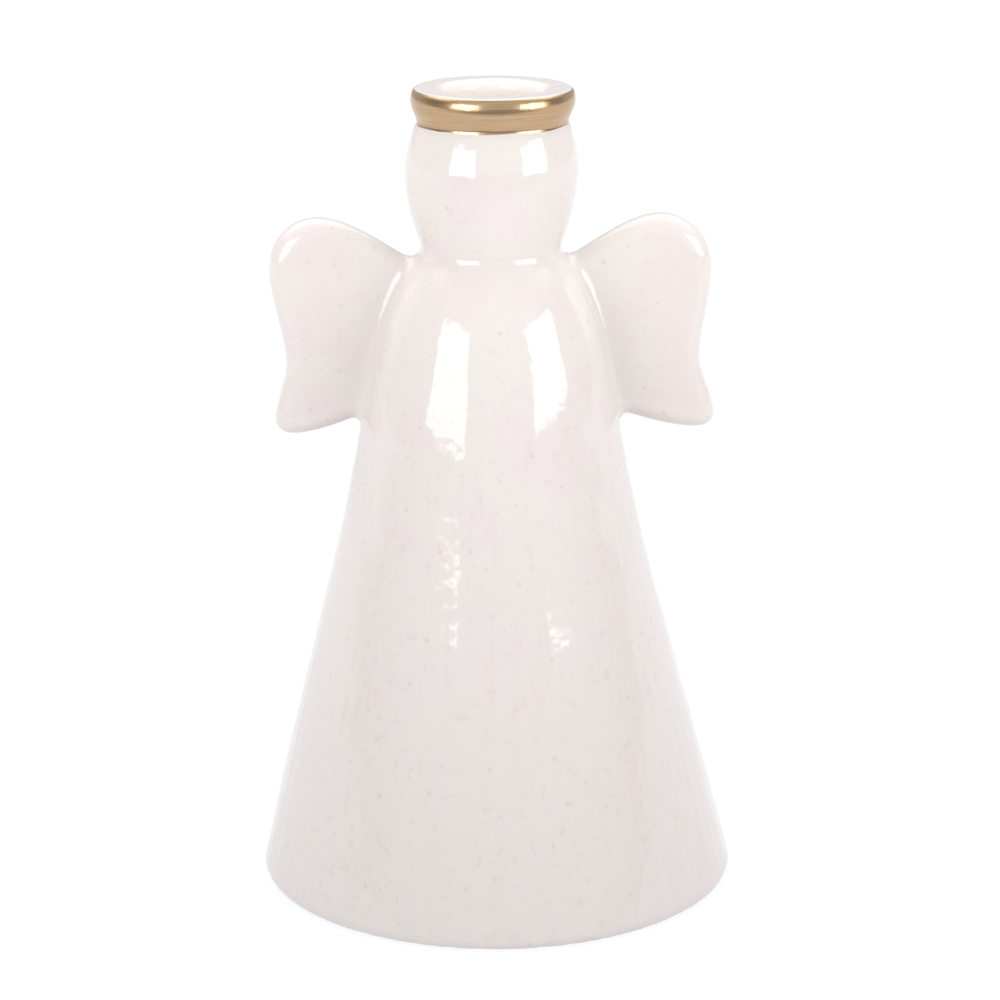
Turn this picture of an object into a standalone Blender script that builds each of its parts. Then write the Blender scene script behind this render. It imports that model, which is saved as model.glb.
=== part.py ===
"""Angel candle holder, in metres, +Z up, facing -Y, standing on its foot at the origin.

One slip-cast figure: a hollow bell dress, a head with a rolled collar round the candle socket, and two plate wings.
"""

import math

import bmesh
import bpy
from mathutils import Vector
from mathutils.geometry import interpolate_bezier

# Heights, stacked from the table up
DRESS_HEIGHT = 0.153
HEAD_HEIGHT = 0.029
COLLAR_HEIGHT = 0.008

# Dress
HEM_RADIUS = 0.0571
HEM_ROUND = 0.002
HEM_FLARE = 0.243
WAIST_RADIUS = 0.0319
WAIST_DROP = 0.05
WAIST_FLARE = 0.19
WAIST_PULL = 0.03
SHOULDER_SLOPE = 1.05
SHOULDER_PULL = 0.0102

# Head and collar
NECK_RADIUS = 0.0158
NECK_SLOPE = 0.38
HEAD_RADIUS = 0.0202
HEAD_WIDEST_DROP = 0.0102
GROOVE_RADIUS = 0.0179
GROOVE_SLOPE = 0.42
COLLAR_RADIUS = 0.01918
COLLAR_WIDEST_DROP = 0.0027
RIM_FLAT_RADIUS = 0.0177

# Candle socket, for a 22 mm candle
SOCKET_RADIUS = 0.0114
SOCKET_DEPTH = 0.022
SOCKET_FLOOR = 0.005
LIP_ROUND = 0.0007

# Casting
WALL = 0.005
WING_THICKNESS = 0.009
WING_EDGE_ROUND = 0.0024
WING_SETBACK = 0.002

# Wing outline: distances out from the axis, and heights above (rise) or below (drop) the neck
WING_ROOT = 0.014
WING_ROOT_DROP = 0.0051
WING_APEX = 0.0398
WING_APEX_RISE = 0.0072
WING_REACH = 0.05175
WING_REACH_DROP = 0.0057
WING_WAIST = 0.0487
WING_WAIST_DROP = 0.027
WING_TIP = 0.0518
WING_TIP_DROP = 0.0412
WING_UNDERSIDE = 0.0476
WING_UNDERSIDE_DROP = 0.045
WING_HEEL = 0.02
WING_HEEL_DROP = 0.0362
WING_TOP_SLOPE = 0.55
WING_HEEL_SLOPE = 0.35

# Share of its run that a curve's handle takes, on a quarter round, on a long sweep and on a nearly straight side
QUARTER_PULL = 0.57
SWEEP_PULL = 0.3
STRAIGHT_PULL = 0.68

# Facets
STEPS_AROUND = 48
ARC_STEPS = 4
CURVE_STEPS = 7
WING_CURVE_STEPS = 6
WING_EDGE_STEPS = 1
CUT_OVERSHOOT = 0.01

NECK_Z = DRESS_HEIGHT
GROOVE_Z = NECK_Z + HEAD_HEIGHT
RIM_Z = GROOVE_Z + COLLAR_HEIGHT
SOCKET_FLOOR_Z = RIM_Z - SOCKET_DEPTH
CEILING_Z = SOCKET_FLOOR_Z - SOCKET_FLOOR

# Rounds that the wall under them limits
FOOT_ROUND = min(HEM_ROUND, WALL / 2)
PLATE_ROUND = min(WING_EDGE_ROUND, WING_THICKNESS / 3)


def at(radius, height):
    """A point of a turned profile or of the wing's outline."""
    return Vector((radius, 0, height))


def sweep(start, leave, end, arrive, steps):
    """Points of a cubic curve whose handles are offsets from its ends. The end itself is left out."""
    return interpolate_bezier(start, start + leave, end + arrive, end, steps + 1)[:-1]


def arc(centre, radius, first_angle, last_angle, steps):
    """Points of an arc, both ends included. Angle 0 points outwards, and angles grow upwards."""
    turn = (last_angle - first_angle) / steps
    angles = [first_angle + turn * step for step in range(steps + 1)]
    return [centre + radius * at(math.cos(angle), math.sin(angle)) for angle in angles]


def hem_points():
    """The round between the dress's straight side and the foot: it touches both."""
    lean = math.atan(HEM_FLARE)
    inset = FOOT_ROUND * (HEM_FLARE + 1 / math.cos(lean))
    centre = at(HEM_RADIUS - inset, FOOT_ROUND)
    return arc(centre, FOOT_ROUND, lean, -math.pi / 2, ARC_STEPS)


def collar_points():
    """From the rim's flat over the rolled collar to the groove under it."""
    rim = at(RIM_FLAT_RADIUS, RIM_Z)
    widest = at(COLLAR_RADIUS, RIM_Z - COLLAR_WIDEST_DROP)
    groove = at(GROOVE_RADIUS, GROOVE_Z)
    over = (COLLAR_RADIUS - RIM_FLAT_RADIUS) * QUARTER_PULL
    fall = COLLAR_WIDEST_DROP * QUARTER_PULL
    tuck = (widest.z - groove.z) * QUARTER_PULL
    return sweep(rim, at(over, 0), widest, at(0, fall), ARC_STEPS) + sweep(
        widest, at(0, -tuck), groove, at(0, tuck), ARC_STEPS
    )


def head_points():
    """From the groove round the head to the neck crease."""
    groove = at(GROOVE_RADIUS, GROOVE_Z)
    widest = at(HEAD_RADIUS, GROOVE_Z - HEAD_WIDEST_DROP)
    neck = at(NECK_RADIUS, NECK_Z)
    brow = HEAD_WIDEST_DROP * SWEEP_PULL
    cheek = (widest.z - neck.z) * SWEEP_PULL
    return sweep(groove, at(brow * GROOVE_SLOPE, -brow), widest, at(0, brow), ARC_STEPS) + sweep(
        widest, at(0, -cheek), neck, at(cheek * NECK_SLOPE, cheek), CURVE_STEPS
    )


def dress_points():
    """From the neck crease over the shoulders and down the bell to the hem."""
    neck = at(NECK_RADIUS, NECK_Z)
    waist = at(WAIST_RADIUS, NECK_Z - WAIST_DROP)
    hem = hem_points()[0]
    chest = WAIST_DROP * SWEEP_PULL
    skirt = (waist.z - hem.z) * STRAIGHT_PULL
    shoulders = sweep(
        neck, at(SHOULDER_PULL * SHOULDER_SLOPE, -SHOULDER_PULL), waist, at(-chest * WAIST_FLARE, chest), CURVE_STEPS
    )
    bell = sweep(
        waist, at(WAIST_PULL * WAIST_FLARE, -WAIST_PULL), hem, at(-skirt * HEM_FLARE, skirt), CURVE_STEPS
    )
    return shoulders + bell


def side_points():
    """The whole outer side, from the rim's flat down to the foot."""
    return collar_points() + head_points() + dress_points() + hem_points()


def turned(name, profile, collection):
    """A profile turned about Z. It runs down its outer side and ends on the axis at both ends."""
    shape = bmesh.new()
    line = [shape.verts.new(point) for point in profile]
    for upper, lower in zip(line, line[1:]):
        shape.edges.new((upper, lower))
    mesh = bpy.data.meshes.new(name)
    shape.to_mesh(mesh)
    shape.free()
    piece = bpy.data.objects.new(name, mesh)
    collection.objects.link(piece)
    screw = piece.modifiers.new("Turn", "SCREW")
    screw.steps = STEPS_AROUND
    screw.render_steps = STEPS_AROUND
    screw.use_merge_vertices = True
    screw.merge_threshold = 1e-6
    screw.use_smooth_shade = True
    return piece


def figure(collection):
    """The turned figure, still solid."""
    return turned("angel_figure", [at(0, RIM_Z), *side_points(), at(0, 0)], collection)


def hollow(collection):
    """What the slip leaves empty under the dress and the head, one wall in from the outer side."""
    inner = [at(point.x - WALL, point.z) for point in dress_points() + head_points()]
    side = sorted((point for point in inner if point.z < CEILING_Z), key=lambda point: -point.z)
    ceiling = at(side[0].x, CEILING_Z)
    mouth = at(HEM_RADIUS - WALL, 0)
    way_out = at(mouth.x, -CUT_OVERSHOOT)
    return turned("hollow", [at(0, CEILING_Z), ceiling, *side, mouth, way_out, at(0, way_out.z)], collection)


def socket(collection):
    """The blind hole for the candle, with its mouth rounded over."""
    lip = arc(at(SOCKET_RADIUS + LIP_ROUND, RIM_Z - LIP_ROUND), LIP_ROUND, math.pi / 2, math.pi, ARC_STEPS)
    top = at(lip[0].x, RIM_Z + CUT_OVERSHOOT)
    floor = at(SOCKET_RADIUS, SOCKET_FLOOR_Z)
    return turned("socket", [at(0, top.z), top, *lip, floor, at(0, floor.z)], collection)


def wing_knots():
    """The wing's outline as knots, each with its handles as offsets, from the root over the top to the heel."""
    root = at(WING_ROOT, NECK_Z - WING_ROOT_DROP)
    apex = at(WING_APEX, NECK_Z + WING_APEX_RISE)
    outer = at(WING_REACH, NECK_Z - WING_REACH_DROP)
    waist = at(WING_WAIST, NECK_Z - WING_WAIST_DROP)
    tip = at(WING_TIP, NECK_Z - WING_TIP_DROP)
    underside = at(WING_UNDERSIDE, NECK_Z - WING_UNDERSIDE_DROP)
    heel = at(WING_HEEL, NECK_Z - WING_HEEL_DROP)
    rise = (apex.x - root.x) * SWEEP_PULL
    crown = (outer.x - apex.x) * QUARTER_PULL
    drop = (apex.z - outer.z) * QUARTER_PULL
    flank = (outer.z - waist.z) * SWEEP_PULL
    flick = (waist.z - tip.z) * SWEEP_PULL
    turn_down = (tip.z - underside.z) * QUARTER_PULL
    turn_in = (tip.x - underside.x) * QUARTER_PULL
    under = (underside.x - heel.x) * SWEEP_PULL
    still = at(0, 0)
    return [
        (root, still, at(rise, rise * WING_TOP_SLOPE)),
        (apex, at(-rise, 0), at(crown, 0)),
        (outer, at(0, drop), at(0, -flank)),
        (waist, at(0, flank), at(0, -flick)),
        (tip, at(0, flick), at(0, -turn_down)),
        (underside, at(turn_in, 0), at(-under, 0)),
        (heel, at(under, -under * WING_HEEL_SLOPE), still),
    ]


def wings(collection):
    """Both wings as one mesh, with their roots still inside the shoulders."""
    outline = bpy.data.curves.new("wing_outline", "CURVE")
    outline.dimensions = "2D"
    outline.fill_mode = "BOTH"
    outline.resolution_u = WING_CURVE_STEPS
    outline.extrude = WING_THICKNESS / 2 - PLATE_ROUND
    outline.bevel_depth = PLATE_ROUND
    outline.bevel_resolution = WING_EDGE_STEPS
    outline.offset = -PLATE_ROUND
    spline = outline.splines.new("BEZIER")
    spline.use_cyclic_u = True
    knots = wing_knots()
    spline.bezier_points.add(len(knots) - 1)
    for point, (place, arrive, leave) in zip(spline.bezier_points, knots):
        point.handle_left_type = "FREE"
        point.handle_right_type = "FREE"
        point.co = place.xzy
        point.handle_left = (place + arrive).xzy
        point.handle_right = (place + leave).xzy
    plate = bpy.data.objects.new("wing_outline", outline)
    plate.rotation_euler.x = math.pi / 2
    plate.location.y = WING_SETBACK
    collection.objects.link(plate)
    bpy.context.view_layer.update()
    mesh = bpy.data.meshes.new_from_object(plate.evaluated_get(bpy.context.evaluated_depsgraph_get()))
    shape = bmesh.new()
    shape.from_mesh(mesh)
    bmesh.ops.remove_doubles(shape, verts=shape.verts, dist=1e-6)
    bmesh.ops.transform(shape, verts=shape.verts, matrix=plate.matrix_world)
    bmesh.ops.recalc_face_normals(shape, faces=shape.faces)
    shape.to_mesh(mesh)
    shape.free()
    bpy.data.objects.remove(plate)
    piece = bpy.data.objects.new("wings", mesh)
    collection.objects.link(piece)
    mirror = piece.modifiers.new("Other wing", "MIRROR")
    mirror.use_mirror_merge = False
    return piece


def combine(piece, other, operation):
    boolean = piece.modifiers.new(other.name, "BOOLEAN")
    boolean.operation = operation
    boolean.solver = "EXACT"
    boolean.object = other


def as_cutter(piece):
    piece.hide_render = True
    piece.display_type = "WIRE"
    return piece


def cream_glaze():
    """Glossy cream glaze over stoneware."""
    material = bpy.data.materials.new("cream_glaze")
    material.use_nodes = True
    shader = material.node_tree.nodes["Principled BSDF"]
    shader.inputs["Base Color"].default_value = (0.86, 0.82, 0.76, 1)
    shader.inputs["Roughness"].default_value = 0.12
    shader.inputs["Metallic"].default_value = 0
    return material


def new_collection(name):
    collection = bpy.data.collections.new(name)
    bpy.context.scene.collection.children.link(collection)
    return collection


def main():
    for old in list(bpy.data.objects):
        bpy.data.objects.remove(old)
    holder = new_collection("angel_candle_holder")
    cutters = new_collection("cutters")
    angel = figure(holder)
    angel.data.materials.append(cream_glaze())
    combine(angel, as_cutter(wings(cutters)), "UNION")
    combine(angel, as_cutter(hollow(cutters)), "DIFFERENCE")
    combine(angel, as_cutter(socket(cutters)), "DIFFERENCE")


main()
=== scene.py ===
"""Looks of the angel candle holder: stoneware in cream speckled glaze, with gold painted round the collar."""

import math

import bmesh
import bpy
import numpy as np
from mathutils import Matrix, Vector, noise
from mathutils.geometry import interpolate_bezier


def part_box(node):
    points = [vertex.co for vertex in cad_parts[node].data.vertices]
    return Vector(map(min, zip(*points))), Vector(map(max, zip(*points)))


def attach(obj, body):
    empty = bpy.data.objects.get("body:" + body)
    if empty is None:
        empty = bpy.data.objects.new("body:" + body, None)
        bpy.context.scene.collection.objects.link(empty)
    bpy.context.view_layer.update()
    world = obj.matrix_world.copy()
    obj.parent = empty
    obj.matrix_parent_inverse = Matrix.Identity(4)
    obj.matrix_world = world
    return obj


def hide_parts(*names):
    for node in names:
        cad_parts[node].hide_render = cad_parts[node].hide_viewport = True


MM = 0.001

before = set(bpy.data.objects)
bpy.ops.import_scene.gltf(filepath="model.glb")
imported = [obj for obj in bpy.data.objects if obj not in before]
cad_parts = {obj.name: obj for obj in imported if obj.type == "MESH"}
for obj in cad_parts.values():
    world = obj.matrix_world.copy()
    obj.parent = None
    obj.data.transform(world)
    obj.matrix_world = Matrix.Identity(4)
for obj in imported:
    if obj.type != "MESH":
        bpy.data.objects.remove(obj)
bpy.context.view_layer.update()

# The frame gives the rim's height and how far the hem reaches
RIM_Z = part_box("angel_figure")[1][2]
HEM_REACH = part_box("angel_figure")[1][0]

# Heights, counted down from the rim
COLLAR_HEIGHT = 8 * MM
HEAD_HEIGHT = 30 * MM
GROOVE_Z = RIM_Z - COLLAR_HEIGHT
NECK_Z = GROOVE_Z - HEAD_HEIGHT

# Dress
HEM_ROUND = 2 * MM
HEM_FLARE = 0.243
WAIST_RADIUS = 31.9 * MM
WAIST_DROP = 49 * MM
WAIST_FLARE = 0.19
WAIST_PULL = 30 * MM
SHOULDER_SLOPE = 1.05
SHOULDER_PULL = 10.2 * MM

# Head and collar
NECK_RADIUS = 15.8 * MM
NECK_SLOPE = 0.38
NECK_EASE = 2.2 * MM
HEAD_RADIUS = 20.2 * MM
HEAD_WIDEST_DROP = 10.2 * MM
GROOVE_RADIUS = 17.3 * MM
BROW_STEP = 0.75 * MM
BROW_SLOPE = 0.33
GROOVE_EASE = 0.5 * MM
COLLAR_RADIUS = 19 * MM
COLLAR_UNDERCUT = 0.24
COLLAR_WIDEST_DROP = 2.7 * MM
RIM_FLAT_RADIUS = 17.7 * MM

# Socket and hollow
SOCKET_RADIUS = 11.4 * MM
SOCKET_DEPTH = 22 * MM
SOCKET_FLOOR = 5 * MM
LIP_ROUND = 2.2 * MM
WALL = 5 * MM

# Wings: distances out from the axis, and heights above (rise) or below (drop) the neck
WING_THICKNESS = 9 * MM
WING_EDGE_ROUND = 4 * MM
WING_SETBACK = 2 * MM
WING_FILLET = 3.5 * MM
WING_ROOT = 14 * MM
WING_ROOT_DROP = 5 * MM
WING_APEX = 39.8 * MM
WING_APEX_RISE = 7.7 * MM
WING_REACH = 51.75 * MM
WING_REACH_DROP = 4.7 * MM
WING_WAIST = 48.7 * MM
WING_WAIST_DROP = 26 * MM
WING_TIP = 51.8 * MM
WING_TIP_DROP = 40.2 * MM
WING_UNDERSIDE = 47.6 * MM
WING_UNDERSIDE_DROP = 43.4 * MM
WING_HEEL = 20 * MM
WING_HEEL_DROP = 35.2 * MM
WING_TOP_SLOPE = 0.55
WING_HEEL_SLOPE = 0.35

# Share of its run that a curve's handle takes
QUARTER_PULL = 0.57
SWEEP_PULL = 0.3
STRAIGHT_PULL = 0.68
CREASE_PULL = 2 / 3

# Mesh
CURVE_STEPS = 24
MESH_SIZE = 1.3 * MM
SETTLE_ROUNDS = 3
SETTLE_STEPS = 3
WING_MARGIN = 7 * MM
RELAX_SHARE = 0.5
MERGE_DISTANCE = 0.001 * MM
POINTS_AT_ONCE = 4000

# Keeps divisions off zero, and gives a point on the wing's outline itself a way out
TINY = 1e-9
SQUARE_SHARE = 0.001

# How the casting stands out of true: its bow to the side, and where the wings' outer parts lag behind it
BOW = 1.25 * MM
BOW_SPAN = 205 * MM
WING_TOP_SHIFT = -1.15 * MM
WING_TIP_SHIFT = 0.05 * MM
WING_LAG = 16 * MM

# Glaze relief
SWELL_WIDTH = 13 * MM
SWELL_HEIGHT = 0.16 * MM
SWELL_FADE = 6 * MM
RIB_COUNT = 118
RIB_LENGTH = 45 * MM
RIB_HEIGHT = 0.16 * MM
RIB_TEXTURE = 0.12 * MM
LUMP_WIDTH = 3 * MM
LUMP_HEIGHT = 0.05 * MM
DIMPLE_WIDTH = 0.9 * MM
DIMPLE_HEIGHT = 0.004 * MM

# Glaze colour
GLAZE_WARM = "E3DDD7"
GLAZE_PINK = "E4DBD8"
# Painted shade: a darker glaze colour that the glaze takes towards the foot
GLAZE_LOW_PAINTED_SHADE = "CCC6C2"
# Painted light: a paler glaze over the lip and in the socket, standing in for light on the socket's inside
GLAZE_SOCKET_PAINTED_LIGHT = "FBF5EF"
GLAZE_ROUGHNESS = 0.07
GLAZE_IOR = 1.52
MOTTLE_WIDTH = 16 * MM
MOTTLE_FROM = 0.35
MOTTLE_TO = 0.65
# Rib crests: partly thin glaze over the clay, partly painted shade of the ribs
RIB_THIN_GLAZE_AND_SHADE = "D6C8BD"
RIB_TONE = 0.4
RIB_TONE_FROM = 0.5
RIB_TONE_TO = 0.75
RUST = "B07B58"
BLOT_WIDTH = 2.2 * MM
BLOT_FROM = 0.56
BLOT_TO = 0.82
BLOT_STRENGTH = 0.13
BLOTS_HIGH_UP = 0.5
SPECK_SPACING = 3.6 * MM
SPECK_SIZE = 0.9 * MM
SPECK_CORE = 0.1
SPECK_STRENGTH = 0.22

# Gold lustre
GOLD_DEEP = "9B744E"
GOLD_BRIGHT = "E3C9A4"
GOLD_ROUGHNESS = 0.22
GOLD_EDGE_Z = GROOVE_Z - 0.1 * MM
GOLD_EDGE_WOBBLE = 0.5 * MM
GOLD_FEATHER = 0.08 * MM
GOLD_TOP_GAP = 0.12 * MM
GOLD_INNER_RADIUS = 14 * MM
GOLD_INNER_FADE = 1 * MM
BRUSH_WANDER = 9 * MM
BRUSH_HAIR = 0.3 * MM
BRUSH_HAIR_ROUGHNESS = 0.7
GOLD_GRAIN = 0.28 * MM
GRAIN_DEPTH = 0.02 * MM

# Bare clay
STONEWARE = "CDBBA3"
STONEWARE_PALE = "DCCDB8"
STONEWARE_ROUGHNESS = 0.85
FOOT_WIPE_Z = 0.4 * MM
GRIT_WIDTH = 0.8 * MM
GRIT_HEIGHT = 0.05 * MM

# Octaves of the noise patterns
SOFT_DETAIL = 1
BROKEN_DETAIL = 2
CLOUDY_DETAIL = 3
FINE_DETAIL = 4

# Camera, from the photograph's perspective
CAMERA_DISTANCE = 750 * MM
CAMERA_HEIGHT = 305.5 * MM
CAMERA_TURN = math.radians(3.5)
CAMERA_PITCH = math.radians(15.93)
CAMERA_ROLL = math.radians(0.17)
CAMERA_ASIDE = 1.65 * MM
CAMERA_LENS = 118.1
SENSOR = 36

# Room. Walls and light come in between two values of a direction's own Y or Z
WHITE = "FBFCFF"
SIDE_WALL = "B0ABA6"
WALL_LIGHT = 0.81
WALL_FROM = 0.1
WALL_TO = 0.6
BACK_WALL_SHARE = 0.65
OVERHEAD_LIGHT = 2.25
OVERHEAD_FROM = 0.4
OVERHEAD_TO = 0.7
OVERHEAD_EDGE = 0.2

# Floor and softboxes, with distances in metres
ACRYLIC = "6C6C6E"
ACRYLIC_ROUGHNESS = 0.8
FLOOR_SIZE = 4
FLOOR_GLOW = 0.86
FRONT_GLOW = 0.18
FRONT_FROM = -0.25
FRONT_TO = -0.5
SOFTBOX_WHITE = "FDFCFB"
SOFTBOX_DISTANCE = 0.5
SOFTBOX_BOTTOM = 155 * MM
LEFT_SOFTBOX_TOP = 385 * MM
RIGHT_SOFTBOX_TOP = 375 * MM
SOFTBOX_GLOW = 4.5
LEFT_SOFTBOX_TURN = math.radians(39)
LEFT_SOFTBOX_WIDTH = math.radians(34)
RIGHT_SOFTBOX_TURN = math.radians(58)
RIGHT_SOFTBOX_WIDTH = math.radians(36)


def at(radius, height):
    """A point of a turned profile or of the wing's outline."""
    return Vector((radius, 0, height))


def sweep(start, leave, end, arrive, steps=CURVE_STEPS):
    """Points of a cubic curve whose handles are offsets from its ends. The end itself is left out."""
    return interpolate_bezier(start, start + leave, end + arrive, end, steps + 1)[:-1]


def arc(centre, radius, first_angle, last_angle):
    """Points of an arc, both ends included. Angle 0 points outwards, and angles grow upwards."""
    angles = np.linspace(first_angle, last_angle, CURVE_STEPS + 1)
    return [centre + radius * at(math.cos(angle), math.sin(angle)) for angle in angles]


def eased(upper, lower, reach):
    """Two stretches of a profile joined with a soft hollow in place of the crease between them."""
    crease = lower[0]
    above = [point for point in upper if (point - crease).length > reach]
    below = [point for point in lower if (point - crease).length > reach]
    start, end = above[-1], below[0]
    hollow = sweep(start, (crease - start) * CREASE_PULL, end, (crease - end) * CREASE_PULL)
    return above[:-1] + hollow + below


def hem_points():
    """The round between the dress's straight side and the foot. The frame gives its reach."""
    lean = math.atan(HEM_FLARE)
    centre = at(HEM_REACH - HEM_ROUND, HEM_ROUND)
    return arc(centre, HEM_ROUND, lean, -math.pi / 2)


def collar_points():
    """From the rim's flat over the rolled collar, and down its leaning underside to the groove."""
    rim = at(RIM_FLAT_RADIUS, RIM_Z)
    widest = at(COLLAR_RADIUS, RIM_Z - COLLAR_WIDEST_DROP)
    groove = at(GROOVE_RADIUS, GROOVE_Z)
    over = (COLLAR_RADIUS - RIM_FLAT_RADIUS) * QUARTER_PULL
    fall = COLLAR_WIDEST_DROP * QUARTER_PULL
    tuck = (widest.z - groove.z) * SWEEP_PULL
    return sweep(rim, at(over, 0), widest, at(0, fall)) + sweep(
        widest, at(0, -tuck), groove, at(tuck * COLLAR_UNDERCUT, tuck)
    )


def head_points():
    """From the groove out to the brow, and round the head to the neck crease."""
    groove = at(GROOVE_RADIUS, GROOVE_Z)
    top = groove + at(BROW_STEP, -BROW_STEP)
    widest = at(HEAD_RADIUS, GROOVE_Z - HEAD_WIDEST_DROP)
    neck = at(NECK_RADIUS, NECK_Z)
    brow = (top.z - widest.z) * SWEEP_PULL
    cheek = (widest.z - neck.z) * SWEEP_PULL
    upper = sweep(top, at(brow * BROW_SLOPE, -brow), widest, at(0, brow))
    return [groove] + upper + sweep(widest, at(0, -cheek), neck, at(cheek * NECK_SLOPE, cheek))


def dress_points():
    """From the neck crease over the shoulders and down the bell to the hem."""
    neck = at(NECK_RADIUS, NECK_Z)
    waist = at(WAIST_RADIUS, NECK_Z - WAIST_DROP)
    hem = hem_points()[0]
    chest = WAIST_DROP * SWEEP_PULL
    skirt = (waist.z - hem.z) * STRAIGHT_PULL
    shoulders = sweep(
        neck, at(SHOULDER_PULL * SHOULDER_SLOPE, -SHOULDER_PULL), waist, at(-chest * WAIST_FLARE, chest)
    )
    fall = at(WAIST_PULL * WAIST_FLARE, -WAIST_PULL)
    return shoulders + sweep(waist, fall, hem, at(-skirt * HEM_FLARE, skirt))


def side_points():
    """The whole outer side, from the rim's flat to the foot, with soft hollows at groove and neck."""
    head = eased(collar_points(), head_points(), GROOVE_EASE)
    return eased(head, dress_points(), NECK_EASE) + hem_points()


def section_points():
    """The turned section as one line: socket floor, lip, outer side, foot and hollow, from axis to axis."""
    side = side_points()
    floor_z = RIM_Z - SOCKET_DEPTH
    ceiling_z = floor_z - SOCKET_FLOOR
    lip = arc(at(SOCKET_RADIUS + LIP_ROUND, RIM_Z - LIP_ROUND), LIP_ROUND, math.pi, math.pi / 2)
    inner = [at(point.x - WALL, point.z) for point in reversed(side) if HEM_ROUND < point.z < ceiling_z]
    mouth = at(inner[0].x + inner[0].z * HEM_FLARE, 0)
    ceiling = at(inner[-1].x, ceiling_z)
    return [at(0, floor_z), at(SOCKET_RADIUS, floor_z), *lip, *side, mouth, *inner, ceiling, at(0, ceiling_z)]


def wing_points():
    """The wing's outline, from the root over the top to the heel."""
    root = at(WING_ROOT, NECK_Z - WING_ROOT_DROP)
    apex = at(WING_APEX, NECK_Z + WING_APEX_RISE)
    outer = at(WING_REACH, NECK_Z - WING_REACH_DROP)
    waist = at(WING_WAIST, NECK_Z - WING_WAIST_DROP)
    tip = at(WING_TIP, NECK_Z - WING_TIP_DROP)
    underside = at(WING_UNDERSIDE, NECK_Z - WING_UNDERSIDE_DROP)
    heel = at(WING_HEEL, NECK_Z - WING_HEEL_DROP)
    rise = (apex.x - root.x) * SWEEP_PULL
    crown = (outer.x - apex.x) * QUARTER_PULL
    drop = (apex.z - outer.z) * QUARTER_PULL
    flank = (outer.z - waist.z) * SWEEP_PULL
    flick = (waist.z - tip.z) * SWEEP_PULL
    turn_down = (tip.z - underside.z) * QUARTER_PULL
    turn_in = (tip.x - underside.x) * QUARTER_PULL
    under = (underside.x - heel.x) * SWEEP_PULL
    return (
        sweep(root, at(rise, rise * WING_TOP_SLOPE), apex, at(-rise, 0))
        + sweep(apex, at(crown, 0), outer, at(0, drop))
        + sweep(outer, at(0, -flank), waist, at(0, flank))
        + sweep(waist, at(0, -flick), tip, at(0, flick))
        + sweep(tip, at(0, -turn_down), underside, at(turn_in, 0))
        + sweep(underside, at(-under, 0), heel, at(under, -under * WING_HEEL_SLOPE))
        + [heel]
    )


def flat(points):
    """Profile points as an array of distance out and height."""
    return np.array([(point.x, point.z) for point in points])


def side_line():
    """The outer side's line from the foot up."""
    return flat(side_points())[::-1]


def body_radius(heights, side):
    """How wide the turned body is at each height."""
    return np.interp(heights, side[:, 1], side[:, 0])


def nearest_on_line(places, line):
    """The nearest place on a line for each of many places in the plane, and the way the line runs there."""
    start, run = line[:-1], np.diff(line, axis=0)
    lengths = np.maximum((run**2).sum(axis=1), TINY**2)
    found = np.empty_like(places)
    runs = np.empty_like(places)
    for first in range(0, len(places), POINTS_AT_ONCE):
        block = slice(first, first + POINTS_AT_ONCE)
        some = places[block]
        along = ((some[:, None] - start) * run).sum(axis=2) / lengths
        on_line = start + np.clip(along, 0, 1)[:, :, None] * run
        off = ((on_line - some[:, None]) ** 2).sum(axis=2)
        nearest = off.argmin(axis=1)
        found[block] = on_line[np.arange(len(some)), nearest]
        runs[block] = run[nearest]
    return found, runs


def inside(places, ring):
    """Whether each place lies inside a closed ring."""
    x, z = places.T
    crossed = np.zeros(len(places), bool)
    for (ax, az), (bx, bz) in zip(ring, np.roll(ring, -1, axis=0)):
        if az != bz:
            crossed ^= ((az > z) != (bz > z)) & (x < (bx - ax) * (z - az) / (bz - az) + ax)
    return crossed


def section_skin(points, section):
    """Points moved to the nearest place on the skin that the section makes when it is turned."""
    radius = np.maximum(np.hypot(points[:, 0], points[:, 1]), TINY)
    near, _ = nearest_on_line(np.column_stack([radius, points[:, 2]]), section)
    around = points[:, :2] / radius[:, None]
    return np.column_stack([around * near[:, :1], near[:, 1]])


def shoulder_skin(points, side, outline):
    """Points moved onto the skin where dress and wings flow together, one step nearer with each call."""
    x, y, z = points.T
    radius = np.maximum(np.hypot(x, y), TINY)
    slope = np.interp(z, side[:, 1], np.gradient(side[:, 0], side[:, 1]))
    level = 1 / np.hypot(1, slope)
    off_body = (radius - body_radius(z, side)) * level
    body_out = np.column_stack([x / radius, y / radius, -slope]) * level[:, None]

    place = np.column_stack([np.abs(x), z])
    near, run = nearest_on_line(place, outline)
    side_of = np.where(inside(place, outline), -1, 1)
    square = np.column_stack([-run[:, 1], run[:, 0]])
    way = (place - near) * side_of[:, None] + square * SQUARE_SHARE
    way /= np.hypot(*way.T)[:, None]
    edge = np.maximum(np.hypot(*(place - near).T) * side_of + WING_EDGE_ROUND, 0)
    depth = y - WING_SETBACK
    across = np.maximum(np.abs(depth) - WING_THICKNESS / 2 + WING_EDGE_ROUND, 0) * np.sign(depth)
    reach = np.maximum(np.hypot(edge, across), TINY)
    off_wing = reach - WING_EDGE_ROUND
    wing_out = np.column_stack([way[:, 0] * edge * np.sign(x), across, way[:, 1] * edge]) / reach[:, None]

    share = np.clip(0.5 + 0.5 * (off_body - off_wing) / WING_FILLET, 0, 1)
    off_skin = off_body + (off_wing - off_body) * share - WING_FILLET * share * (1 - share)
    out = body_out + (wing_out - body_out) * share[:, None]
    return points - out * (off_skin / (out**2).sum(axis=1))[:, None]


def positions(mesh):
    """Where the mesh's points are."""
    places = np.empty(len(mesh.vertices) * 3)
    mesh.vertices.foreach_get("co", places)
    return places.reshape(-1, 3)


def put(mesh, points):
    """Moves the mesh's points to new places."""
    mesh.vertices.foreach_set("co", points.ravel())
    mesh.update()


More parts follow.
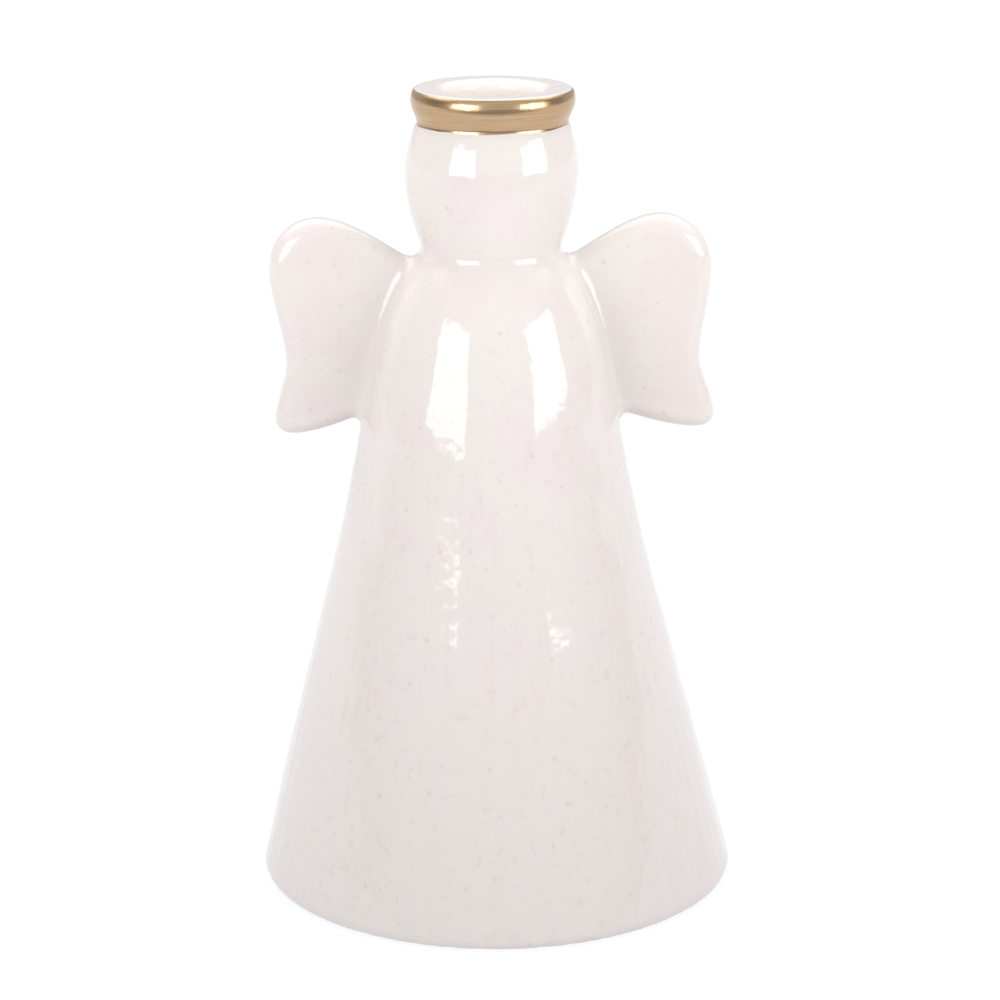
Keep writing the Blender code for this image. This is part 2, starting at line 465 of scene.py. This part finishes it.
def settle(mesh, section, side, outline):
    """Draws every point of the fine mesh onto the figure's true surface."""
    points = positions(mesh)
    z = points[:, 2]
    radius = np.hypot(points[:, 0], points[:, 1])
    below_top = z < NECK_Z + WING_APEX_RISE + WING_MARGIN
    above_tips = z > NECK_Z - WING_UNDERSIDE_DROP - WING_MARGIN
    outer = below_top & above_tips & (radius > body_radius(z, side) - WALL / 2)
    points[~outer] = section_skin(points[~outer], section)
    for _ in range(SETTLE_STEPS):
        points[outer] = shoulder_skin(points[outer], side, outline)
    put(mesh, points)


def relax(mesh):
    """Evens out the spacing of the mesh. The figure is settled again after it."""
    shape = bmesh.new()
    shape.from_mesh(mesh)
    bmesh.ops.smooth_vert(
        shape, verts=shape.verts, factor=RELAX_SHARE, use_axis_x=True, use_axis_y=True, use_axis_z=True
    )
    shape.to_mesh(mesh)
    shape.free()


def refine(mesh, lowest):
    """Halves the mesh above a height, where the collar and the lip need finer rounds."""
    shape = bmesh.new()
    shape.from_mesh(mesh)
    fine = [edge for edge in shape.edges if min(vert.co.z for vert in edge.verts) > lowest]
    bmesh.ops.subdivide_edges(shape, edges=fine, cuts=1, use_grid_fill=True)
    shape.to_mesh(mesh)
    shape.free()


def fine_copy(node):
    """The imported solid's mesh, merged and remeshed in even quads."""
    mesh = node.data.copy()
    mesh.materials.clear()
    shape = bmesh.new()
    shape.from_mesh(mesh)
    bmesh.ops.remove_doubles(shape, verts=shape.verts, dist=MERGE_DISTANCE)
    shape.to_mesh(mesh)
    shape.free()
    rough = bpy.data.objects.new("rough_casting", mesh)
    bpy.context.collection.objects.link(rough)
    remesh = rough.modifiers.new("Even quads", "REMESH")
    remesh.mode = "VOXEL"
    remesh.voxel_size = MESH_SIZE
    fine = bpy.data.meshes.new_from_object(rough.evaluated_get(bpy.context.evaluated_depsgraph_get()))
    bpy.data.objects.remove(rough)
    return fine


def ripple(mesh, side):
    """Gives the skin the slow swells of a thick glaze, and the dress its faint upright ribs."""
    points = positions(mesh)
    ways = np.empty(len(points) * 3)
    mesh.vertices.foreach_get("normal", ways)
    radius = np.hypot(points[:, 0], points[:, 1])
    z = points[:, 2]
    outside = radius > body_radius(z, side) - WALL / 2
    share = outside * np.clip((z - HEM_ROUND) / SWELL_FADE, 0, 1) * np.clip((GROOVE_Z - z) / SWELL_FADE, 0, 1)
    swells = np.array([noise.noise(Vector(point / SWELL_WIDTH)) for point in points])
    around = RIB_COUNT / math.tau * points[:, :2] / np.maximum(radius, MESH_SIZE)[:, None]
    upright = np.column_stack([around, z / RIB_LENGTH])
    ribs = np.array([noise.noise(Vector(place)) for place in upright])
    low_down = np.clip((NECK_Z - z) / NECK_Z, 0, 1)
    lifts = share * (SWELL_HEIGHT * swells + RIB_HEIGHT * low_down * ribs)
    put(mesh, points + ways.reshape(-1, 3) * lifts[:, None])


def warp(mesh, side):
    """Bows the figure a little to the side. The wings' outer parts don't quite follow the body."""
    points = positions(mesh)
    x, _, z = points.T
    body = -BOW * np.sin(np.pi * z / BOW_SPAN)
    heights = [NECK_Z - WING_TIP_DROP, NECK_Z + WING_APEX_RISE]
    wings = np.interp(z, heights, [WING_TIP_SHIFT, WING_TOP_SHIFT])
    share = np.clip((np.abs(x) - body_radius(z, side)) / WING_LAG, 0, 1)
    points[:, 0] += body + (wings - body) * share
    put(mesh, points)


def casting(node):
    """The whole glazed figure as one fine closed mesh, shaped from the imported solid."""
    section = flat(section_points())
    side = side_line()
    outline = flat(wing_points())
    mesh = fine_copy(node)
    for _ in range(SETTLE_ROUNDS):
        settle(mesh, section, side, outline)
        relax(mesh)
    refine(mesh, GROOVE_Z - COLLAR_HEIGHT / 2)
    settle(mesh, section, side, outline)
    ripple(mesh, side)
    warp(mesh, side)
    mesh.shade_smooth()
    mesh.name = "glazed_angel"
    piece = bpy.data.objects.new("glazed_angel", mesh)
    bpy.context.scene.collection.objects.link(piece)
    return piece


def linear(code):
    """An sRGB hex colour as the linear values that shaders take."""
    parts = [int(code[start : start + 2], 16) / 255 for start in (0, 2, 4)]
    return [part / 12.92 if part <= 0.04045 else ((part + 0.055) / 1.055) ** 2.4 for part in parts] + [1]


def add(tree, kind, inputs, **settings):
    """Adds a node with its settings. Each input in use takes a value, or a node or one output to link."""
    made = tree.nodes.new(kind)
    for name, value in settings.items():
        setattr(made, name, value)
    sockets = [socket for socket in made.inputs if socket.enabled]
    for key, value in inputs.items():
        socket = sockets[key] if isinstance(key, int) else next(one for one in sockets if one.name == key)
        if isinstance(value, bpy.types.Node):
            value = next(one for one in value.outputs if one.enabled)
        if isinstance(value, bpy.types.NodeSocket):
            tree.links.new(value, socket)
        else:
            socket.default_value = value
    return made


def new_material(name):
    """A material with its node tree and its shader."""
    material = bpy.data.materials.new(name)
    material.use_nodes = True
    return material, material.node_tree, material.node_tree.nodes["Principled BSDF"]


def specked(tree, place, ground):
    """The ground colour with small iron specks melted into it, one in each cell and most of them tiny."""
    cells = add(tree, "ShaderNodeTexVoronoi", {"Vector": place, "Scale": 1 / SPECK_SPACING})
    chance = add(tree, "ShaderNodeSeparateColor", {"Color": cells.outputs["Color"]})
    size = {0: chance.outputs["Red"], 1: SPECK_SIZE / SPECK_SPACING}
    size = add(tree, "ShaderNodeMath", size, operation="MULTIPLY")
    core = add(tree, "ShaderNodeMath", {0: size, 1: SPECK_CORE}, operation="MULTIPLY")
    off_middle = cells.outputs["Distance"]
    within = {"Value": off_middle, "From Min": size, "From Max": core, "To Max": SPECK_STRENGTH}
    shown = add(tree, "ShaderNodeMapRange", within, interpolation_type="SMOOTHSTEP")
    return add(tree, "ShaderNodeMix", {"Factor": shown, "A": ground, "B": linear(RUST)}, data_type="RGBA")


def gold_share(tree, place, radius, height):
    """Where the gold is brushed on: the collar's outside, with an edge that wanders in the groove."""
    wobble = add(tree, "ShaderNodeTexNoise", {"Vector": place, "Scale": 1 / BRUSH_WANDER})
    shift = {0: wobble, 1: -2 * GOLD_EDGE_WOBBLE, 2: height}
    wandering = add(tree, "ShaderNodeMath", shift, operation="MULTIPLY_ADD")
    start = GOLD_EDGE_Z - GOLD_EDGE_WOBBLE
    edge = {"Value": wandering, "From Min": start - GOLD_FEATHER, "From Max": start + GOLD_FEATHER}
    above_groove = add(tree, "ShaderNodeMapRange", edge, interpolation_type="SMOOTHSTEP")
    rim = {"Value": height, "From Min": RIM_Z - GOLD_TOP_GAP, "From Max": RIM_Z - 2 * GOLD_TOP_GAP}
    below_rim = add(tree, "ShaderNodeMapRange", rim, interpolation_type="SMOOTHSTEP")
    band = add(tree, "ShaderNodeMath", {0: above_groove, 1: below_rim}, operation="MULTIPLY")
    outer_radius = GOLD_INNER_RADIUS + GOLD_INNER_FADE
    outside = {"Value": radius, "From Min": GOLD_INNER_RADIUS, "From Max": outer_radius}
    off_socket = add(tree, "ShaderNodeMapRange", outside)
    return add(tree, "ShaderNodeMath", {0: band, 1: off_socket}, operation="MULTIPLY")


def speckled_glaze():
    """Glossy cream glaze over iron-flecked stoneware, with gold lustre brushed round the collar.

    The glaze is clear enough to show soft rust specks, and gives sharp reflections broken by its swells.
    The gold is a thin metal film, rougher than the glaze and grainy, with the brush's fine rings in it.
    """
    material, tree, shader = new_material("speckled_cream_glaze")
    place = add(tree, "ShaderNodeTexCoord", {}).outputs["Object"]
    axes = add(tree, "ShaderNodeSeparateXYZ", {"Vector": place})
    height = axes.outputs["Z"]
    level = add(tree, "ShaderNodeCombineXYZ", {"X": axes.outputs["X"], "Y": axes.outputs["Y"]})
    radius = add(tree, "ShaderNodeVectorMath", {0: level}, operation="LENGTH")
    turned = add(tree, "ShaderNodeCombineXYZ", {"X": radius, "Z": height})

    clouds = {"Vector": place, "Scale": 1 / MOTTLE_WIDTH, "Detail": CLOUDY_DETAIL}
    mottle = add(tree, "ShaderNodeTexNoise", clouds)
    patches = {"Value": mottle, "From Min": MOTTLE_FROM, "From Max": MOTTLE_TO}
    patch = add(tree, "ShaderNodeMapRange", patches, interpolation_type="SMOOTHSTEP")
    tints = {"Factor": patch, "A": linear(GLAZE_WARM), "B": linear(GLAZE_PINK)}
    cream = add(tree, "ShaderNodeMix", tints, data_type="RGBA")
    low_down = add(tree, "ShaderNodeMapRange", {"Value": height, "From Min": NECK_Z, "From Max": 0})
    # Painted shade: the glaze colour darkens towards the foot
    tints = {"Factor": low_down, "A": cream, "B": linear(GLAZE_LOW_PAINTED_SHADE)}
    cream = add(tree, "ShaderNodeMix", tints, data_type="RGBA")

    # Painted light: the glaze turns paler over the lip and down into the socket
    lip = {"Value": radius, "From Min": SOCKET_RADIUS + LIP_ROUND, "From Max": SOCKET_RADIUS}
    socket_painted_light = add(tree, "ShaderNodeMapRange", lip)
    tints = {"Factor": socket_painted_light, "A": cream, "B": linear(GLAZE_SOCKET_PAINTED_LIGHT)}
    cream = add(tree, "ShaderNodeMix", tints, data_type="RGBA")

    around = add(tree, "ShaderNodeVectorMath", {0: level}, operation="NORMALIZE")
    climb = add(tree, "ShaderNodeMath", {0: height, 1: 1 / RIB_LENGTH}, operation="MULTIPLY")
    rise = add(tree, "ShaderNodeCombineXYZ", {"Z": climb})
    spread = {0: around, 1: (RIB_COUNT / math.tau,) * 3, 2: rise}
    upright = add(tree, "ShaderNodeVectorMath", spread, operation="MULTIPLY_ADD")
    ribs = add(tree, "ShaderNodeTexNoise", {"Vector": upright, "Scale": 1, "Detail": SOFT_DETAIL})
    high_ribs = {"Value": ribs, "From Min": RIB_TONE_FROM, "From Max": RIB_TONE_TO, "To Max": RIB_TONE}
    # The rib crests darken low down: partly thin glaze over the clay, partly painted shade of the ribs
    crest_clay_and_shade = add(tree, "ShaderNodeMapRange", high_ribs)
    crest_clay_and_shade = add(tree, "ShaderNodeMath", {0: crest_clay_and_shade, 1: low_down}, operation="MULTIPLY")
    tints = {"Factor": crest_clay_and_shade, "A": cream, "B": linear(RIB_THIN_GLAZE_AND_SHADE)}
    cream = add(tree, "ShaderNodeMix", tints, data_type="RGBA")

    stains = {"Vector": place, "Scale": 1 / BLOT_WIDTH, "Detail": SOFT_DETAIL}
    blots = add(tree, "ShaderNodeTexNoise", stains)
    most = {"Value": low_down, "To Min": BLOTS_HIGH_UP * BLOT_STRENGTH, "To Max": BLOT_STRENGTH}
    most = add(tree, "ShaderNodeMapRange", most)
    melted = {"Value": blots, "From Min": BLOT_FROM, "From Max": BLOT_TO, "To Max": most}
    melted = add(tree, "ShaderNodeMapRange", melted, interpolation_type="SMOOTHSTEP")
    cream = add(tree, "ShaderNodeMix", {"Factor": melted, "A": cream, "B": linear(RUST)}, data_type="RGBA")
    cream = specked(tree, place, cream)

    gold = gold_share(tree, place, radius, height)
    hairs = {"Vector": turned, "Scale": 1 / BRUSH_HAIR, "Detail": FINE_DETAIL}
    hairs["Roughness"] = BRUSH_HAIR_ROUGHNESS
    brushing = add(tree, "ShaderNodeTexNoise", hairs)
    metal = {"Factor": brushing, "A": linear(GOLD_DEEP), "B": linear(GOLD_BRIGHT)}
    metal = add(tree, "ShaderNodeMix", metal, data_type="RGBA")
    foot = {"Value": height, "From Min": FOOT_WIPE_Z, "From Max": FOOT_WIPE_Z / 2}
    bare = add(tree, "ShaderNodeMapRange", foot, interpolation_type="SMOOTHSTEP")
    colour = add(tree, "ShaderNodeMix", {"Factor": gold, "A": cream, "B": metal}, data_type="RGBA")
    tints = {"Factor": bare, "A": colour, "B": linear(STONEWARE)}
    colour = add(tree, "ShaderNodeMix", tints, data_type="RGBA")
    gloss = add(tree, "ShaderNodeMix", {"Factor": gold, "A": GLAZE_ROUGHNESS, "B": GOLD_ROUGHNESS})
    gloss = add(tree, "ShaderNodeMix", {"Factor": bare, "A": gloss, "B": STONEWARE_ROUGHNESS})

    ribs = add(tree, "ShaderNodeMath", {0: ribs, 1: low_down}, operation="MULTIPLY")
    ribbed = add(tree, "ShaderNodeBump", {"Height": ribs, "Distance": RIB_TEXTURE})
    relief = {"Vector": place, "Scale": 1 / LUMP_WIDTH, "Detail": SOFT_DETAIL}
    lumps = add(tree, "ShaderNodeTexNoise", relief)
    lumpy = add(tree, "ShaderNodeBump", {"Height": lumps, "Distance": LUMP_HEIGHT, "Normal": ribbed})
    relief = {"Vector": place, "Scale": 1 / DIMPLE_WIDTH, "Detail": BROKEN_DETAIL}
    dimples = add(tree, "ShaderNodeTexNoise", relief)
    dimpled = add(tree, "ShaderNodeBump", {"Height": dimples, "Distance": DIMPLE_HEIGHT, "Normal": lumpy})
    relief = {"Vector": place, "Scale": 1 / GOLD_GRAIN, "Detail": BROKEN_DETAIL}
    grains = add(tree, "ShaderNodeTexNoise", relief)
    grains = add(tree, "ShaderNodeMath", {0: grains, 1: gold}, operation="MULTIPLY")
    grained = add(tree, "ShaderNodeBump", {"Height": grains, "Distance": GRAIN_DEPTH, "Normal": dimpled})

    tree.links.new(colour.outputs[2], shader.inputs["Base Color"])
    tree.links.new(gold.outputs[0], shader.inputs["Metallic"])
    tree.links.new(gloss.outputs[0], shader.inputs["Roughness"])
    tree.links.new(grained.outputs[0], shader.inputs["Normal"])
    shader.inputs["IOR"].default_value = GLAZE_IOR
    return material


def bare_stoneware():
    """Unglazed fired clay inside the hollow: buff, matt and slightly gritty."""
    material, tree, shader = new_material("bare_stoneware")
    place = add(tree, "ShaderNodeTexCoord", {}).outputs["Object"]
    grit = add(tree, "ShaderNodeTexNoise", {"Vector": place, "Scale": 1 / GRIT_WIDTH, "Detail": FINE_DETAIL})
    tints = {"Factor": grit, "A": linear(STONEWARE), "B": linear(STONEWARE_PALE)}
    clay = add(tree, "ShaderNodeMix", tints, data_type="RGBA")
    clay = specked(tree, place, clay)
    gritty = add(tree, "ShaderNodeBump", {"Height": grit, "Distance": GRIT_HEIGHT})
    tree.links.new(clay.outputs[2], shader.inputs["Base Color"])
    tree.links.new(gritty.outputs[0], shader.inputs["Normal"])
    shader.inputs["Roughness"].default_value = STONEWARE_ROUGHNESS
    return material


def glaze_casting(piece):
    """Glaze outside and in the socket, bare clay inside the hollow."""
    mesh = piece.data
    mesh.materials.append(speckled_glaze())
    mesh.materials.append(bare_stoneware())
    side = side_line()
    ceiling_z = RIM_Z - SOCKET_DEPTH - SOCKET_FLOOR / 2
    centres = np.empty(len(mesh.polygons) * 3)
    mesh.polygons.foreach_get("center", centres)
    x, y, z = centres.reshape(-1, 3).T
    hollow = (np.hypot(x, y) < body_radius(z, side) - WALL / 2) & (z > MESH_SIZE / 4)
    mesh.polygons.foreach_set("material_index", (hollow & (z < ceiling_z)).astype(np.int32))
    mesh.update()


def studio_floor():
    """A plain white light table that the figure stands on. Its glow fades towards the photographer."""
    shape = bmesh.new()
    bmesh.ops.create_grid(shape, x_segments=1, y_segments=1, size=FLOOR_SIZE)
    mesh = bpy.data.meshes.new("floor")
    shape.to_mesh(mesh)
    shape.free()
    floor = bpy.data.objects.new("floor", mesh)
    bpy.context.scene.collection.objects.link(floor)
    material, tree, shader = new_material("white_acrylic")
    place = add(tree, "ShaderNodeTexCoord", {}).outputs["Object"]
    forward = add(tree, "ShaderNodeSeparateXYZ", {"Vector": place}).outputs["Y"]
    fade = {"Value": forward, "From Min": FRONT_FROM, "From Max": FRONT_TO}
    fade.update({"To Min": FLOOR_GLOW, "To Max": FRONT_GLOW})
    glow = add(tree, "ShaderNodeMapRange", fade, interpolation_type="SMOOTHSTEP")
    tree.links.new(glow.outputs[0], shader.inputs["Emission Strength"])
    shader.inputs["Base Color"].default_value = linear(ACRYLIC)
    shader.inputs["Roughness"].default_value = ACRYLIC_ROUGHNESS
    shader.inputs["Specular IOR Level"].default_value = 0
    shader.inputs["Emission Color"].default_value = linear(WHITE)
    mesh.materials.append(material)


def studio_room():
    """White walls before and behind the figure, grey ones beside it, and a bright light overhead."""
    world = bpy.data.worlds.new("studio")
    world.use_nodes = True
    tree = world.node_tree
    way = add(tree, "ShaderNodeTexCoord", {}).outputs["Generated"]
    axes = add(tree, "ShaderNodeSeparateXYZ", {"Vector": way})
    ahead = axes.outputs["Y"]
    reach = {"Value": ahead, "From Min": -WALL_FROM, "From Max": -WALL_TO}
    front_wall = add(tree, "ShaderNodeMapRange", reach)
    reach = {"Value": ahead, "From Min": WALL_FROM, "From Max": WALL_TO, "To Max": BACK_WALL_SHARE}
    back_wall = add(tree, "ShaderNodeMapRange", reach)
    walls = add(tree, "ShaderNodeMath", {0: front_wall, 1: back_wall}, operation="MAXIMUM")
    high = {"Value": axes.outputs["Z"], "From Min": OVERHEAD_FROM, "From Max": OVERHEAD_TO}
    high = add(tree, "ShaderNodeMapRange", high, interpolation_type="SMOOTHSTEP")
    back = {"Value": ahead, "From Min": -OVERHEAD_EDGE, "From Max": OVERHEAD_EDGE}
    back = add(tree, "ShaderNodeMapRange", back, interpolation_type="SMOOTHSTEP")
    overhead = add(tree, "ShaderNodeMath", {0: high, 1: back}, operation="MULTIPLY")
    lit = add(tree, "ShaderNodeMath", {0: walls, 1: high}, operation="MAXIMUM")
    colour = {"Factor": lit, "A": linear(SIDE_WALL), "B": linear(WHITE)}
    colour = add(tree, "ShaderNodeMix", colour, data_type="RGBA")
    light = {"Value": overhead, "To Min": WALL_LIGHT, "To Max": OVERHEAD_LIGHT}
    light = add(tree, "ShaderNodeMapRange", light)
    background = tree.nodes["Background"]
    tree.links.new(colour.outputs[2], background.inputs["Color"])
    tree.links.new(light.outputs[0], background.inputs["Strength"])
    bpy.context.scene.world = world


def softbox(name, turn, width, top):
    """A standing lamp at a turn from the camera's side, as wide as an angle seen from the figure."""
    bearing = -math.pi / 2 - CAMERA_TURN + turn
    away = Vector((math.cos(bearing), math.sin(bearing), 0))
    lamp = bpy.data.lights.new(name, "AREA")
    lamp.shape = "RECTANGLE"
    lamp.size = 2 * SOFTBOX_DISTANCE * math.tan(width / 2)
    lamp.size_y = top - SOFTBOX_BOTTOM
    lamp.energy = SOFTBOX_GLOW * math.pi * lamp.size * lamp.size_y
    lamp.color = linear(SOFTBOX_WHITE)[:3]
    holder = bpy.data.objects.new(name, lamp)
    holder.location = away * SOFTBOX_DISTANCE + Vector((0, 0, (top + SOFTBOX_BOTTOM) / 2))
    holder.rotation_euler = (-away).to_track_quat("-Z", "Y").to_euler()
    bpy.context.scene.collection.objects.link(holder)


def camera():
    """The photograph's view: a long lens a little above the head, turned so that the left wing is nearer."""
    data = bpy.data.cameras.new("camera")
    data.sensor_width = SENSOR
    data.lens = CAMERA_LENS
    data.dof.use_dof = False
    holder = bpy.data.objects.new("camera", data)
    turn = Vector((math.cos(-CAMERA_TURN), math.sin(-CAMERA_TURN), 0))
    back = Vector((turn.y, -turn.x, 0))
    holder.location = back * CAMERA_DISTANCE + turn * CAMERA_ASIDE + Vector((0, 0, CAMERA_HEIGHT))
    holder.rotation_euler = (math.pi / 2 - CAMERA_PITCH, CAMERA_ROLL, -CAMERA_TURN)
    bpy.context.scene.collection.objects.link(holder)
    bpy.context.scene.camera = holder


angel = casting(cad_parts["angel_figure"])
glaze_casting(angel)
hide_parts("angel_figure")
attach(angel, "root")

studio_floor()
studio_room()
softbox("left_softbox", -LEFT_SOFTBOX_TURN, LEFT_SOFTBOX_WIDTH, LEFT_SOFTBOX_TOP)
softbox("right_softbox", RIGHT_SOFTBOX_TURN, RIGHT_SOFTBOX_WIDTH, RIGHT_SOFTBOX_TOP)
camera()
bpy.context.scene.view_settings.view_transform = "Standard"
